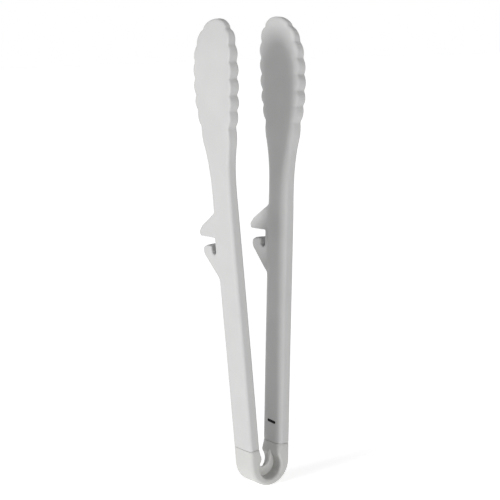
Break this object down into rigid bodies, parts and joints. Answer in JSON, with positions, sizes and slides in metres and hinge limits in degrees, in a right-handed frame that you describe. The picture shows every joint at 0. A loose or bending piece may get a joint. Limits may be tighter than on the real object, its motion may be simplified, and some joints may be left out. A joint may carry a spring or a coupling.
{
  "type": "serving tongs",
  "caption": "Slim pale grey tongs: a springy U-shaped heel joins two straight arms that end in long paddle heads with scalloped rims; a notched hook on each arm hangs on a rim.",
  "frame": {"origin": "lowest point of the U-shaped heel, on the middle plane between the arms and midway across the handle's width", "axes": "+Z from the heel to the heads, +Y from the front arm to the rear arm (the direction the jaws open), rim hooks towards -X"},
  "size_m": [0.0433, 0.0536, 0.279],
  "materials": {
    "heel_plastic": "matte",
    "arm_silicone": "matte",
    "core_nylon": "matte",
    "spring_steel": "brushed",
    "rivet_steel": "satin",
    "mark_ink": "matte"
  },
  "bodies": {
    "heel": {"heel_cover": "heel_plastic", "heel_spring": "spring_steel"},
    "front_arm": {"front_sleeve": "arm_silicone", "front_core": "core_nylon", "front_rivets": "rivet_steel"},
    "rear_arm": {"rear_sleeve": "arm_silicone", "rear_core": "core_nylon", "rear_rivets": "rivet_steel", "blank_mark": "mark_ink"}
  },
  "joints": [
    {"name": "front_arm_flex", "type": "hinge", "parent": "heel", "child": "front_arm", "pos_m": [0, -0.0064, 0.0079], "axis": [-1, 0, 0], "range_deg": [-2, 3.8], "stiffness_Nm_per_rad": 10, "deforming": ["heel_cover", "heel_spring"]},
    {"name": "rear_arm_flex", "type": "hinge", "parent": "heel", "child": "rear_arm", "pos_m": [0, 0.0064, 0.0079], "axis": [1, 0, 0], "range_deg": [-2, 3.8], "stiffness_Nm_per_rad": 10, "deforming": ["heel_cover", "heel_spring"]}
  ],
  "couplings": [
    {"joint": "rear_arm_flex", "follows": "front_arm_flex", "ratio": 1}
  ]
}
